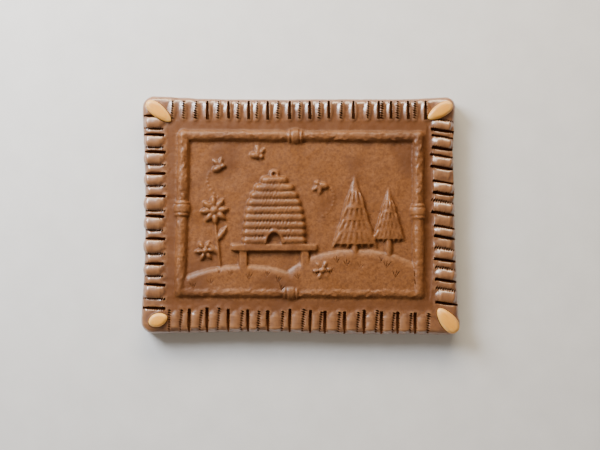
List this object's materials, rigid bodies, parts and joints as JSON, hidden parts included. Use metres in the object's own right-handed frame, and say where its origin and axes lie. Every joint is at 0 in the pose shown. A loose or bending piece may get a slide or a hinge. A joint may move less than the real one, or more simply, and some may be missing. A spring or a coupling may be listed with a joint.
{
  "type": "filled honey gingerbread",
  "caption": "Rectangular filled honey gingerbread with a pinched border, a ringed rod frame round a moulded beehive picture and a blanched almond pressed into each corner.",
  "frame": {"origin": "on the flat underside, below the middle of the gingerbread's outline, with the picture facing up", "axes": "+X to the right of the picture, +Y to its top, +Z out of its face"},
  "size_m": [0.246, 0.1852, 0.0217],
  "materials": {
    "dough": "baked honey dough, satin with a soft glaze",
    "almond": "blanched almond, lightly toasted, smooth"
  },
  "bodies": {
    "root": {"gingerbread": "dough", "almond_top_left": "almond", "almond_top_right": "almond", "almond_bottom_right": "almond", "almond_bottom_left": "almond"}
  },
  "joints": []
}
